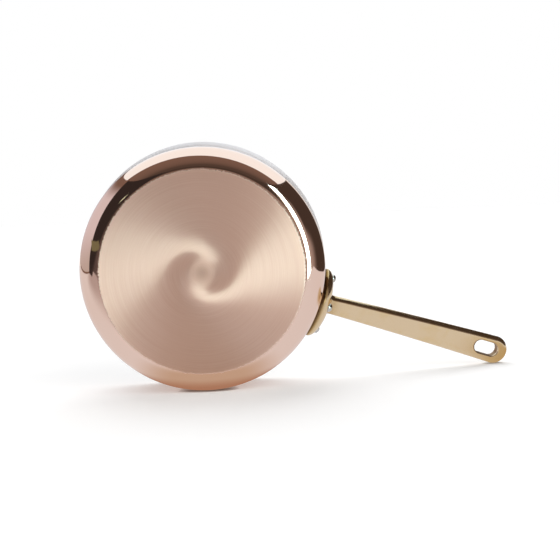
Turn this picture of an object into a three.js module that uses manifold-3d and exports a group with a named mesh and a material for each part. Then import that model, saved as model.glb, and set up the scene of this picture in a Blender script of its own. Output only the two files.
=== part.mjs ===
// Copper saute pan with a steel lining, a pouring lip and a riveted brass handle.
// Millimetres, +Z up, origin at the centre of the base, handle along +X.
import * as THREE from 'three';
import { mergeVertices } from 'three/addons/utils/BufferGeometryUtils.js';
import Module from 'manifold-3d';

// Copper body
const WALL_RADIUS = 100;
const CORNER_RADIUS = 17;
const COPPER_HEIGHT = 57;
const COPPER_THICKNESS = 1.6;

// Steel lining and its pouring lip
const LINING_THICKNESS = 0.7;
const BOND_GAP = 0.3;
const LIP_RADIUS = 103;
const LIP_BEND_RADIUS = 5;
const LIP_BEND_ANGLE = THREE.MathUtils.degToRad(50);

// Handle flange, an oval dome wrapped round the wall
const FLANGE_WIDTH = 58;
const FLANGE_MARGIN = 3;
const FLANGE_THICKNESS = 9.4;
const FLANGE_EDGE = 2.6;
const SEAT_GAP = 0.3;

// Handle bar, an arched strip that widens to a round end
const BAR_REACH = 282;
const BAR_ROOT_RAISE = 8;
const BAR_ROOT_SLOPE = THREE.MathUtils.degToRad(18);
const BAR_TIP_SLOPE = THREE.MathUtils.degToRad(8);
const BAR_ROOT_WIDTH = 15.6;
const BAR_TIP_WIDTH = 24.8;
const BAR_WAIST = 0.1;
const BAR_ROOT_THICKNESS = 10;
const BAR_TIP_THICKNESS = 9;
const BAR_EDGE_WIDTH = 4.4;
const ROOT_FILLET = 2.5;

// Hanging slot near the bar's end
const SLOT_LENGTH = 23;
const SLOT_WIDTH = 12;
const SLOT_END_WALL = 9.6;

// Rivets through the flange, the copper and the lining
const SHANK_RADIUS = 2.4;
const RIVET_CLEARANCE = 0.3;
const RIVET_END_DISTANCE = 8;
const RIVET_SIDE_RAISE = 3;
const RIVET_LOWER_DISTANCE = 7;
const OUTER_HEAD_RADIUS = 3.5;
const OUTER_HEAD_HEIGHT = 3;
const INNER_HEAD_RADIUS = 4.6;
const INNER_HEAD_HEIGHT = 1.7;
const SPOT_FACE_DEPTH = 0.5;
const SPOT_FACE_MARGIN = 0.5;

// Facets
const PAN_SEGMENTS = 72;
const ARC_STEPS = 6;
const FLANGE_SEGMENTS = 48;
const FLANGE_RINGS = 6;
const RIVET_SEGMENTS = 24;
const BAR_ROOT_STEPS = 12;
const BAR_STEPS = 12;
const BAR_END_STEPS = 10;
const BAR_END_SWEEP = THREE.MathUtils.degToRad(84);
const SLOT_END_STEPS = 10;
const MERGE_DISTANCE = 1e-4;

const wasm = await Module();
wasm.setup();

// Radii and heights that several pieces share
const flatRadius = WALL_RADIUS - CORNER_RADIUS;
const liningOuterRadius = WALL_RADIUS - COPPER_THICKNESS - BOND_GAP;
const liningInnerRadius = liningOuterRadius - LINING_THICKNESS;
const liningBottom = COPPER_THICKNESS + BOND_GAP;
const liningFloor = liningBottom + LINING_THICKNESS;
const flangeRadius = WALL_RADIUS + SEAT_GAP;
const flangeHalfWidth = FLANGE_WIDTH / 2;
const flangeHalfHeight = (COPPER_HEIGHT - CORNER_RADIUS) / 2 - FLANGE_MARGIN;
const flangeCentre = (COPPER_HEIGHT + CORNER_RADIUS) / 2;

const copperMaterial = new THREE.MeshStandardMaterial({ color: 0xc88f78, roughness: 0.18, metalness: 1 });
const steelMaterial = new THREE.MeshStandardMaterial({ color: 0xc9c8c6, roughness: 0.28, metalness: 1 });
const brassMaterial = new THREE.MeshStandardMaterial({ color: 0xc6a56a, roughness: 0.2, metalness: 1 });

function solidFrom(geometry) {
  const bare = geometry.index ? geometry.toNonIndexed() : geometry.clone();
  bare.deleteAttribute('normal');
  bare.deleteAttribute('uv');
  const merged = mergeVertices(bare, MERGE_DISTANCE);
  const corners = merged.index.array;
  const kept = [];
  for (let i = 0; i < corners.length; i += 3) {
    const [a, b, c] = corners.slice(i, i + 3);
    if (a !== b && b !== c && c !== a) kept.push(a, b, c);
  }
  const vertProperties = new Float32Array(merged.attributes.position.array);
  return new wasm.Manifold(new wasm.Mesh({ numProp: 3, vertProperties, triVerts: new Uint32Array(kept) }));
}

function geometryFrom(solid) {
  const { vertProperties, triVerts } = solid.getMesh();
  const geometry = new THREE.BufferGeometry();
  geometry.setAttribute('position', new THREE.BufferAttribute(new Float32Array(vertProperties), 3));
  geometry.setIndex(new THREE.BufferAttribute(new Uint32Array(triVerts), 1));
  geometry.computeVertexNormals();
  return geometry;
}

function namedMesh(name, geometry, material) {
  const mesh = new THREE.Mesh(geometry, material);
  mesh.name = name;
  return mesh;
}

// Points of an arc in a profile, both ends included
function arcPoints(centreX, centreY, radius, from, to, steps = ARC_STEPS) {
  return Array.from({ length: steps + 1 }, (_, i) => {
    const angle = from + ((to - from) * i) / steps;
    return new THREE.Vector2(centreX + radius * Math.cos(angle), centreY + radius * Math.sin(angle));
  });
}

// A profile of radius and height turned round the vertical axis
function turned(profile, segments) {
  return new THREE.LatheGeometry(profile, segments).rotateX(Math.PI / 2);
}

// The same round the +X axis, for rivets and the cuts that take them
function turnedRadially(profile, segments = RIVET_SEGMENTS) {
  return new THREE.LatheGeometry(profile, segments).rotateZ(-Math.PI / 2);
}

function mapVertices(geometry, place) {
  const positions = geometry.attributes.position;
  const point = new THREE.Vector3();
  for (let i = 0; i < positions.count; i += 1) {
    point.fromBufferAttribute(positions, i);
    const moved = place(point);
    positions.setXYZ(i, moved.x, moved.y, moved.z);
  }
  return geometry;
}

// Pan body

function copperProfile() {
  const innerRadius = WALL_RADIUS - COPPER_THICKNESS;
  return [
    new THREE.Vector2(0, 0),
    ...arcPoints(flatRadius, CORNER_RADIUS, CORNER_RADIUS, -Math.PI / 2, 0),
    new THREE.Vector2(WALL_RADIUS, COPPER_HEIGHT),
    new THREE.Vector2(innerRadius, COPPER_HEIGHT),
    ...arcPoints(flatRadius, CORNER_RADIUS, CORNER_RADIUS - COPPER_THICKNESS, 0, -Math.PI / 2),
    new THREE.Vector2(0, COPPER_THICKNESS),
  ];
}

function liningProfile() {
  const bendCentre = liningOuterRadius + LIP_BEND_RADIUS;
  const bendEnd = Math.PI - LIP_BEND_ANGLE;
  const under = arcPoints(bendCentre, COPPER_HEIGHT, LIP_BEND_RADIUS, Math.PI, bendEnd);
  const over = arcPoints(bendCentre, COPPER_HEIGHT, LIP_BEND_RADIUS + LINING_THICKNESS, bendEnd, Math.PI);
  const lipRise = 1 / Math.tan(LIP_BEND_ANGLE);
  const lipStep = new THREE.Vector2(1, lipRise).multiplyScalar(LIP_RADIUS - under.at(-1).x);
  const cornerOuter = CORNER_RADIUS - liningBottom;
  return [
    new THREE.Vector2(0, liningBottom),
    ...arcPoints(flatRadius, CORNER_RADIUS, cornerOuter, -Math.PI / 2, 0),
    ...under,
    under.at(-1).clone().add(lipStep),
    over[0].clone().add(lipStep),
    ...over,
    ...arcPoints(flatRadius, CORNER_RADIUS, cornerOuter - LINING_THICKNESS, 0, -Math.PI / 2),
    new THREE.Vector2(0, liningFloor),
  ];
}

// Rivets

// Thickness of the flange at a share of the way from its centre to its edge
function flangeThickness(share) {
  return FLANGE_EDGE + (FLANGE_THICKNESS - FLANGE_EDGE) * Math.sqrt(1 - share ** 4);
}

function rivetPlace(name, along, up) {
  const share = Math.hypot(along / flangeHalfWidth, up / flangeHalfHeight);
  return {
    name,
    azimuth: along / WALL_RADIUS,
    height: flangeCentre + up,
    seat: flangeRadius + flangeThickness(share) - SPOT_FACE_DEPTH,
  };
}

const rivetSide = flangeHalfWidth - RIVET_END_DISTANCE;
const rivetPlaces = [
  rivetPlace('rivet_left', rivetSide, RIVET_SIDE_RAISE),
  rivetPlace('rivet_right', -rivetSide, RIVET_SIDE_RAISE),
  rivetPlace('rivet_lower', 0, RIVET_LOWER_DISTANCE - flangeHalfHeight),
];

// Points of a low dome that starts at its rim and ends on the axis
function domePoints(radius, base, height) {
  return Array.from({ length: ARC_STEPS + 1 }, (_, i) => {
    const angle = (Math.PI / 2) * (i / ARC_STEPS);
    return new THREE.Vector2(radius * Math.cos(angle), base + height * Math.sin(angle));
  });
}

function rivetGeometry(place) {
  const innerSeat = Math.sqrt(liningInnerRadius ** 2 - INNER_HEAD_RADIUS ** 2) - SEAT_GAP;
  const outerSeat = place.seat + SEAT_GAP;
  return turnedRadially([
    ...domePoints(INNER_HEAD_RADIUS, innerSeat, -INNER_HEAD_HEIGHT).reverse(),
    new THREE.Vector2(SHANK_RADIUS, innerSeat),
    new THREE.Vector2(SHANK_RADIUS, outerSeat),
    ...domePoints(OUTER_HEAD_RADIUS, outerSeat, OUTER_HEAD_HEIGHT),
  ]);
}

// The shank's hole through the walls and the flat seat for the outer head
function rivetCut(place) {
  const holeRadius = SHANK_RADIUS + RIVET_CLEARANCE;
  const spotRadius = OUTER_HEAD_RADIUS + SPOT_FACE_MARGIN;
  const start = liningInnerRadius - INNER_HEAD_RADIUS;
  const end = flangeRadius + 2 * FLANGE_THICKNESS;
  const cut = turnedRadially([
    new THREE.Vector2(0, start),
    new THREE.Vector2(holeRadius, start),
    new THREE.Vector2(holeRadius, place.seat),
    new THREE.Vector2(spotRadius, place.seat),
    new THREE.Vector2(spotRadius, end),
    new THREE.Vector2(0, end),
  ]);
  return solidFrom(cut.rotateZ(place.azimuth).translate(0, 0, place.height));
}

// Handle

// A round dome, wrapped over the wall so that its width runs along the wall's curve
function flangeGeometry() {
  const profile = [];
  for (let i = 0; i <= FLANGE_RINGS; i += 1) {
    profile.push(new THREE.Vector2(i / FLANGE_RINGS, 0));
  }
  for (let i = 0; i <= FLANGE_RINGS; i += 1) {
    const share = Math.sqrt(Math.cos((Math.PI / 2) * (i / FLANGE_RINGS)));
    profile.push(new THREE.Vector2(share, flangeThickness(share)));
  }
  return mapVertices(new THREE.LatheGeometry(profile, FLANGE_SEGMENTS), (point) => {
    const azimuth = (-point.x * flangeHalfWidth) / WALL_RADIUS;
    const radius = flangeRadius + point.y;
    const height = flangeCentre + point.z * flangeHalfHeight;
    return new THREE.Vector3(radius * Math.cos(azimuth), radius * Math.sin(azimuth), height);
  });
}

// The bar's middle line, seen from the side: reach from the pan's axis and height.
// It starts where the top of its slanted root end meets the flange's inner face.
function barLine() {
  const rootHalf = BAR_ROOT_THICKNESS / 2 + ROOT_FILLET;
  const rootReach = flangeRadius + rootHalf * Math.sin(BAR_ROOT_SLOPE);
  const half = (BAR_REACH - rootReach) / 2;
  const root = new THREE.Vector2(rootReach, flangeCentre + BAR_ROOT_RAISE);
  const knee = new THREE.Vector2(rootReach + half, root.y + half * Math.tan(BAR_ROOT_SLOPE));
  const tip = new THREE.Vector2(BAR_REACH, knee.y + half * Math.tan(BAR_TIP_SLOPE));
  return new THREE.QuadraticBezierCurve(root, knee, tip);
}

const barCurve = barLine();
const barLength = barCurve.getLength();

// A point beside the bar's middle line: distance along it, sideways and upwards from it
function besideBar(distance, sideways, upwards) {
  const share = THREE.MathUtils.clamp(distance / barLength, 0, 1);
  const middle = barCurve.getPointAt(share);
  const along = barCurve.getTangentAt(share);
  return new THREE.Vector3(middle.x - along.y * upwards, sideways, middle.y + along.x * upwards);
}

// How far the bar spreads near the flange's face to run into it in a round
function rootFlare(reach) {
  const clear = THREE.MathUtils.clamp((reach - flangeRadius - FLANGE_THICKNESS) / ROOT_FILLET, 0, 1);
  return ROOT_FILLET * (1 - Math.sqrt(1 - (1 - clear) ** 2));
}

// The bar's section at a distance along it: flat above and below, round at both sides
function barRing(distance) {
  const tipHalf = BAR_TIP_WIDTH / 2;
  const sideEnd = barLength - tipHalf;
  const along = Math.min(distance / sideEnd, 1);
  const drawnIn = 4 * BAR_WAIST * along * (1 - along);
  const intoEnd = Math.max(distance - sideEnd, 0);
  const straightHalf = THREE.MathUtils.lerp(BAR_ROOT_WIDTH / 2, tipHalf, along) - drawnIn;
  const halfWidth = straightHalf * Math.sqrt(1 - (intoEnd / tipHalf) ** 2);
  const intoRound = Math.max(distance - barLength + BAR_EDGE_WIDTH, 0) / BAR_EDGE_WIDTH;
  const thickness = THREE.MathUtils.mapLinear(distance, 0, barLength, BAR_ROOT_THICKNESS, BAR_TIP_THICKNESS);
  const halfThickness = (thickness / 2) * Math.sqrt(1 - intoRound ** 2);
  const edge = Math.min(BAR_EDGE_WIDTH, halfWidth);
  const section = [
    ...arcPoints(halfWidth / edge - 1, 0, 1, -Math.PI / 2, Math.PI / 2),
    ...arcPoints(1 - halfWidth / edge, 0, 1, Math.PI / 2, (3 * Math.PI) / 2),
  ];
  return section.map((corner) => {
    const sideways = edge * corner.x;
    const upwards = halfThickness * corner.y;
    const flare = rootFlare(besideBar(distance, sideways, upwards).x);
    return besideBar(distance, sideways * (1 + flare / halfWidth), upwards * (1 + flare / halfThickness));
  });
}

// Skin over rings of equally many points, with a flat cap at each end
function skinGeometry(rings) {
  const count = rings[0].length;
  const last = (rings.length - 1) * count;
  const faces = [];
  for (let ring = 0; ring < last; ring += count) {
    for (let j = 0; j < count; j += 1) {
      const next = (j + 1) % count;
      faces.push(ring + j, ring + next, ring + count + next);
      faces.push(ring + j, ring + count + next, ring + count + j);
    }
  }
  for (let j = 1; j + 1 < count; j += 1) {
    faces.push(0, j + 1, j);
    faces.push(last, last + j, last + j + 1);
  }
  return new THREE.BufferGeometry().setFromPoints(rings.flat()).setIndex(faces);
}

function barGeometry() {
  const rootEnd = (FLANGE_THICKNESS + BAR_ROOT_THICKNESS / 2 + ROOT_FILLET) / Math.cos(BAR_ROOT_SLOPE);
  const tipHalf = BAR_TIP_WIDTH / 2;
  const sideEnd = barLength - tipHalf;
  const distances = [];
  for (let i = 0; i < BAR_ROOT_STEPS; i += 1) {
    distances.push((rootEnd * i) / BAR_ROOT_STEPS);
  }
  for (let i = 0; i < BAR_STEPS; i += 1) {
    distances.push(rootEnd + ((sideEnd - rootEnd) * i) / BAR_STEPS);
  }
  for (let i = 0; i <= BAR_END_STEPS; i += 1) {
    distances.push(sideEnd + tipHalf * Math.sin((BAR_END_SWEEP * i) / BAR_END_STEPS));
  }
  return skinGeometry(distances.map(barRing));
}

function slotGeometry() {
  const endRadius = SLOT_WIDTH / 2;
  const far = barLength - SLOT_END_WALL - endRadius;
  const near = far - (SLOT_LENGTH - SLOT_WIDTH);
  const outline = new THREE.Shape([
    ...arcPoints(far, 0, endRadius, -Math.PI / 2, Math.PI / 2, SLOT_END_STEPS),
    ...arcPoints(near, 0, endRadius, Math.PI / 2, (3 * Math.PI) / 2, SLOT_END_STEPS),
  ]);
  const depth = 2 * BAR_ROOT_THICKNESS;
  const prism = new THREE.ExtrudeGeometry(outline, { depth, bevelEnabled: false });
  return mapVertices(prism, (point) => besideBar(point.x, point.y, point.z - depth / 2));
}

const rivetCuts = rivetPlaces.map(rivetCut);
const drilled = (solid) => rivetCuts.reduce((rest, cut) => rest.subtract(cut), solid);

const copperShell = drilled(solidFrom(turned(copperProfile(), PAN_SEGMENTS)));
const steelLining = drilled(solidFrom(turned(liningProfile(), PAN_SEGMENTS)));
const bar = solidFrom(barGeometry()).subtract(solidFrom(slotGeometry()));
const brassHandle = drilled(solidFrom(flangeGeometry()).add(bar));

const pan = new THREE.Group();
pan.add(namedMesh('copper_shell', geometryFrom(copperShell), copperMaterial));
pan.add(namedMesh('steel_lining', geometryFrom(steelLining), steelMaterial));
pan.add(namedMesh('brass_handle', geometryFrom(brassHandle), brassMaterial));
for (const place of rivetPlaces) {
  const rivet = namedMesh(place.name, rivetGeometry(place), steelMaterial);
  rivet.rotation.z = place.azimuth;
  rivet.position.z = place.height;
  pan.add(rivet);
}

export default pan;
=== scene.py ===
import math

import bpy
import numpy as np
from mathutils import Matrix, Vector


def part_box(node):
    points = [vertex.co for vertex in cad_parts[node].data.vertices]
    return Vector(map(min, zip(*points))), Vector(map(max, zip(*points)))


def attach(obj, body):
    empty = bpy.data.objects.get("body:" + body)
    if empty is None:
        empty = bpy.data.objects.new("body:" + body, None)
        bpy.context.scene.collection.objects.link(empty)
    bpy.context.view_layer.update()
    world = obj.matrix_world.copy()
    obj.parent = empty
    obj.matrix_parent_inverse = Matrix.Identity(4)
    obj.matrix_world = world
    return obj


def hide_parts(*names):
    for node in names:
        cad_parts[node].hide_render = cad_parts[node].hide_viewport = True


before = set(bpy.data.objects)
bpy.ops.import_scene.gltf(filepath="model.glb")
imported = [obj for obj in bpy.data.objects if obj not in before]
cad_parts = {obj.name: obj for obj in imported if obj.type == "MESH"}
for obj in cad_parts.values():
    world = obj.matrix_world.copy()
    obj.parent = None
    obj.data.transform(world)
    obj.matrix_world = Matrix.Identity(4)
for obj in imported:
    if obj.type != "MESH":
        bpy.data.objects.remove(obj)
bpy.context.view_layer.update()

MM = 0.001

# Copper body
WALL_RADIUS = 100.0
CORNER_RADIUS = 17.0
COPPER_HEIGHT = 57.0
COPPER_THICKNESS = 1.6
COPPER_EDGE_ROUND = 0.5

# Steel lining and its pouring lip
LINING_THICKNESS = 0.7
BOND_GAP = 0.3
LIP_RADIUS = 103.0
LIP_BEND_RADIUS = 5.0
LIP_BEND_ANGLE = math.radians(50)
LIP_EDGE_ROUND = 0.3

# Handle flange
FLANGE_WIDTH = 58.0
FLANGE_MARGIN = 3.0
FLANGE_THICKNESS = 9.4
FLANGE_EDGE = 2.6
SEAT_GAP = 0.3
SEAT_EDGE_BLEND = 0.6

# Handle bar
BAR_REACH = 282.0
BAR_ROOT_RAISE = 8.0
BAR_ROOT_SLOPE = math.radians(18)
BAR_TIP_SLOPE = math.radians(8)
BAR_ROOT_WIDTH = 15.6
BAR_TIP_WIDTH = 24.8
BAR_WAIST = 0.1
BAR_ROOT_THICKNESS = 10.0
BAR_TIP_THICKNESS = 9.0
BAR_EDGE_WIDTH = 4.4
ROOT_FILLET = 2.5
ROOT_BLEND = 5.0

# Hanging slot
SLOT_LENGTH = 23.0
SLOT_WIDTH = 12.0
SLOT_END_WALL = 9.6
SLOT_EDGE_BLEND = 0.8

# Rivets
SHANK_RADIUS = 2.4
RIVET_END_DISTANCE = 8.0
RIVET_SIDE_RAISE = 3.0
RIVET_LOWER_DISTANCE = 7.0
OUTER_HEAD_RADIUS = 3.5
OUTER_HEAD_HEIGHT = 3.0
OUTER_HEAD_SKIRT = 1.6
INNER_HEAD_RADIUS = 4.6
INNER_HEAD_HEIGHT = 1.7
SPOT_FACE_DEPTH = 0.5

# Fineness of the meshes
PAN_SEGMENTS = 240
RIVET_SEGMENTS = 48
ARC_STEP = math.radians(3)
ARC_FEWEST_STEPS = 4
STRAIGHT_STEP = 8.0
DOME_STEPS = 12
BAR_SAMPLES = 400
BAR_OVERRUN = 0.1
NEAREST_POINT_TRIES = 4
CASTING_CELL = 0.75
CASTING_MARGIN = 2 * CASTING_CELL
SKIN_TRIES = 6
SLOPE_STEP = 0.02

# Radii and heights that several pieces share
flat_radius = WALL_RADIUS - CORNER_RADIUS
lining_outer_radius = WALL_RADIUS - COPPER_THICKNESS - BOND_GAP
lining_inner_radius = lining_outer_radius - LINING_THICKNESS
lining_bottom = COPPER_THICKNESS + BOND_GAP
lining_floor = lining_bottom + LINING_THICKNESS
flange_radius = WALL_RADIUS + SEAT_GAP
flange_half_width = FLANGE_WIDTH / 2
flange_half_height = (COPPER_HEIGHT - CORNER_RADIUS) / 2 - FLANGE_MARGIN
flange_centre = (COPPER_HEIGHT + CORNER_RADIUS) / 2


# Mesh building

def unit(vector):
    return vector / np.linalg.norm(vector)


def straight_points(start, end):
    """Points between two ends of a straight stretch, the ends left out."""
    count = int(np.linalg.norm(end - start) // STRAIGHT_STEP)
    return [start + (end - start) * i / (count + 1) for i in range(1, count + 1)]


def rounded_profile(corners):
    """Points and outward normals of a profile of (radius, height, rounding) corners, from axis to axis."""
    places = [np.array(corner[:2], float) for corner in corners]
    points = [places[0]]
    normals = [np.array([0.0, -1.0])]
    for i in range(1, len(places) - 1):
        into = unit(places[i] - places[i - 1])
        out = unit(places[i + 1] - places[i])
        turn = math.atan2(into[0] * out[1] - into[1] * out[0], into @ out)
        rounding = corners[i][2]
        start = places[i] - into * rounding * math.tan(abs(turn) / 2)
        first_normal = np.array([into[1], -into[0]])
        centre = start - math.copysign(rounding, turn) * first_normal
        straight = straight_points(points[-1], start)
        points += straight
        normals += [first_normal] * len(straight)
        steps = max(ARC_FEWEST_STEPS, math.ceil(abs(turn) / ARC_STEP))
        for step in range(steps + 1):
            angle = turn * step / steps
            along = np.array([into[0] * math.cos(angle) - into[1] * math.sin(angle),
                              into[0] * math.sin(angle) + into[1] * math.cos(angle)])
            normal = np.array([along[1], -along[0]])
            points.append(centre + math.copysign(rounding, turn) * normal)
            normals.append(normal)
    straight = straight_points(points[-1], places[-1])
    points += straight + [places[-1]]
    normals += [np.array([0.0, 1.0])] * (len(straight) + 1)
    return points, normals


def turned(profile, segments):
    """Vertices, faces and vertex normals of a profile turned round the Z axis, its two ends on the axis."""
    points, normals = profile
    azimuth = np.arange(segments) * 2 * math.pi / segments
    round_way = np.stack([np.cos(azimuth), np.sin(azimuth)], 1)
    vertices = [np.array([[0, 0, points[0][1]]])]
    directions = [np.array([[0, 0, normals[0][1]]])]
    for point, normal in zip(points[1:-1], normals[1:-1]):
        vertices.append(np.column_stack([round_way * point[0], np.full(segments, point[1])]))
        directions.append(np.column_stack([round_way * normal[0], np.full(segments, normal[1])]))
    vertices.append(np.array([[0, 0, points[-1][1]]]))
    directions.append(np.array([[0, 0, normals[-1][1]]]))
    rings = len(points) - 2
    last = 1 + rings * segments
    faces = []
    for j in range(segments):
        k = (j + 1) % segments
        faces.append((0, 1 + k, 1 + j))
        for ring in range(rings - 1):
            low = 1 + ring * segments
            high = low + segments
            faces.append((low + j, low + k, high + k, high + j))
        faces.append((last - segments + j, last - segments + k, last))
    return np.concatenate(vertices), faces, np.concatenate(directions)


def make_piece(name, shape, material, node, place=None):
    """A smooth mesh object of vertices in millimetres that stands for a CAD node and rides with the pan."""
    vertices, faces, normals = shape
    if place is not None:
        turn = np.array(place.to_3x3())
        vertices = vertices @ turn.T + np.array(place.translation)
        normals = normals @ turn.T
    mesh = bpy.data.meshes.new(name)
    mesh.from_pydata((vertices * MM).tolist(), [], faces)
    mesh.materials.append(material)
    mesh.shade_smooth()
    mesh.normals_split_custom_set_from_vertices(normals.tolist())
    piece = bpy.data.objects.new(name, mesh)
    bpy.context.scene.collection.objects.link(piece)
    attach(piece, "root")
    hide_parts(node)
    return piece


# Shapes of the pan

def copper_shape():
    inner_radius = WALL_RADIUS - COPPER_THICKNESS
    return turned(rounded_profile([
        (0, 0, 0),
        (WALL_RADIUS, 0, CORNER_RADIUS),
        (WALL_RADIUS, COPPER_HEIGHT, COPPER_EDGE_ROUND),
        (inner_radius, COPPER_HEIGHT, COPPER_EDGE_ROUND),
        (inner_radius, COPPER_THICKNESS, CORNER_RADIUS - COPPER_THICKNESS),
        (0, COPPER_THICKNESS, 0),
    ]), PAN_SEGMENTS)


def lip_corner(wall_radius, bend_radius):
    """Height at which a wall line and the lip's slanted line would cross, for one face of the lining."""
    bend_centre = lining_outer_radius + LIP_BEND_RADIUS
    end_radius = bend_centre - bend_radius * math.cos(LIP_BEND_ANGLE)
    end_height = COPPER_HEIGHT + bend_radius * math.sin(LIP_BEND_ANGLE)
    return end_height - (end_radius - wall_radius) / math.tan(LIP_BEND_ANGLE)


def lining_shape():
    over_radius = LIP_BEND_RADIUS + LINING_THICKNESS
    under_height = lip_corner(lining_outer_radius, LIP_BEND_RADIUS)
    over_height = lip_corner(lining_inner_radius, over_radius)
    lip_slope = 1 / math.tan(LIP_BEND_ANGLE)
    corner = CORNER_RADIUS - lining_bottom
    return turned(rounded_profile([
        (0, lining_bottom, 0),
        (lining_outer_radius, lining_bottom, corner),
        (lining_outer_radius, under_height, LIP_BEND_RADIUS),
        (LIP_RADIUS, under_height + (LIP_RADIUS - lining_outer_radius) * lip_slope, LIP_EDGE_ROUND),
        (LIP_RADIUS, over_height + (LIP_RADIUS - lining_inner_radius) * lip_slope, LIP_EDGE_ROUND),
        (lining_inner_radius, over_height, over_radius),
        (lining_inner_radius, lining_floor, corner - LINING_THICKNESS),
        (0, lining_floor, 0),
    ]), PAN_SEGMENTS)


# Shape of the handle, as the zero level of a field of distances in millimetres

def soft_min(a, b, width):
    """The lesser of two fields, with their meeting rounded over a width."""
    near = np.maximum(width - np.abs(a - b), 0) / width
    return np.minimum(a, b) - near * near * width / 4


def soft_max(a, b, width):
    return -soft_min(-a, -b, width)


def bar_corners():
    """Root, knee and tip of the curve that the bar's middle line follows, as reach and height."""
    root_half = BAR_ROOT_THICKNESS / 2 + ROOT_FILLET
    root_reach = flange_radius + root_half * math.sin(BAR_ROOT_SLOPE)
    half = (BAR_REACH - root_reach) / 2
    root = np.array([root_reach, flange_centre + BAR_ROOT_RAISE])
    knee = root + half * np.array([1, math.tan(BAR_ROOT_SLOPE)])
    tip = knee + half * np.array([1, math.tan(BAR_TIP_SLOPE)])
    return root, knee, tip


bar_root, bar_knee, bar_tip = bar_corners()


def bar_point(share):
    """Point and speed of the bar's middle line at a share of the way along it."""
    share = np.asarray(share)[..., None]
    point = (1 - share) ** 2 * bar_root + 2 * share * (1 - share) * bar_knee + share ** 2 * bar_tip
    speed = 2 * (1 - share) * (bar_knee - bar_root) + 2 * share * (bar_tip - bar_knee)
    return point, speed


bar_shares = np.linspace(-BAR_OVERRUN, 1 + BAR_OVERRUN, BAR_SAMPLES)
bar_steps = np.linalg.norm(np.diff(bar_point(bar_shares)[0], axis=0), axis=1)
bar_distances = np.concatenate([[0], np.cumsum(bar_steps)])
bar_distances -= np.interp(0, bar_shares, bar_distances)
bar_length = float(np.interp(1, bar_shares, bar_distances))


def bar_coordinates(points):
    """Distance along the bar and height over its middle line, for points of the model."""
    flat = points[:, [0, 2]]
    bend = 2 * (bar_tip - 2 * bar_knee + bar_root)
    share = (flat[:, 0] - bar_root[0]) / (bar_tip[0] - bar_root[0])
    for _ in range(NEAREST_POINT_TRIES):
        middle, speed = bar_point(share)
        off = middle - flat
        slope = np.sum(speed * speed, 1) + off @ bend
        share = np.clip(share - np.sum(off * speed, 1) / slope, bar_shares[0], bar_shares[-1])
    middle, speed = bar_point(share)
    off = flat - middle
    height = (off[:, 1] * speed[:, 0] - off[:, 0] * speed[:, 1]) / np.linalg.norm(speed, axis=1)
    return np.interp(share, bar_shares, bar_distances), height


def bar_field(distance, sideways, height):
    """The bar: wider towards a round tip, a little waisted, thinner towards the tip, with round edges."""
    tip_half = BAR_TIP_WIDTH / 2
    side_end = bar_length - tip_half
    along = np.clip(distance / side_end, 0, 1)
    waist = 4 * BAR_WAIST * along * (1 - along)
    half_width = BAR_ROOT_WIDTH / 2 + (tip_half - BAR_ROOT_WIDTH / 2) * along - waist
    outline = np.hypot(np.maximum(distance - side_end, 0), sideways) - half_width
    into_edge = np.maximum(outline / BAR_EDGE_WIDTH + 1, 0)
    thinner = (BAR_ROOT_THICKNESS - BAR_TIP_THICKNESS) * distance / bar_length
    half_thickness = (BAR_ROOT_THICKNESS - thinner) / 2
    return (np.hypot(into_edge, height / half_thickness) - 1) * BAR_EDGE_WIDTH


def slot_field(distance, sideways):
    """The hanging slot, endless in height."""
    far = bar_length - SLOT_END_WALL - SLOT_WIDTH / 2
    near = far - (SLOT_LENGTH - SLOT_WIDTH)
    past_end = np.maximum(np.maximum(near - distance, distance - far), 0)
    return np.hypot(past_end, sideways) - SLOT_WIDTH / 2


def flange_field(points):
    """The dome of the flange, with the height over its seat."""
    along = np.arctan2(points[:, 1], points[:, 0]) * WALL_RADIUS
    over_seat = np.hypot(points[:, 0], points[:, 1]) - flange_radius
    share = np.hypot(along / flange_half_width, (points[:, 2] - flange_centre) / flange_half_height)
    crown = FLANGE_THICKNESS - FLANGE_EDGE
    rise = np.maximum(over_seat - FLANGE_EDGE, 0) / crown
    return (np.hypot(share ** 2, rise) - 1) * crown, over_seat


def handle_field(points):
    """The whole casting: the bar less its slot, blended into the flange, and cut off at the flange's seat."""
    distance, height = bar_coordinates(points)
    bar = bar_field(distance, points[:, 1], height)
    bar = soft_max(bar, -slot_field(distance, points[:, 1]), SLOT_EDGE_BLEND)
    dome, over_seat = flange_field(points)
    return soft_max(soft_min(bar, dome, ROOT_BLEND), -over_seat, SEAT_EDGE_BLEND)


def field_gradient(field, points):
    """Slope of a field along the three axes."""
    slopes = []
    for step in np.eye(3) * SLOPE_STEP:
        slopes.append((field(points + step) - field(points - step)) / (2 * SLOPE_STEP))
    return np.stack(slopes, 1)


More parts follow.
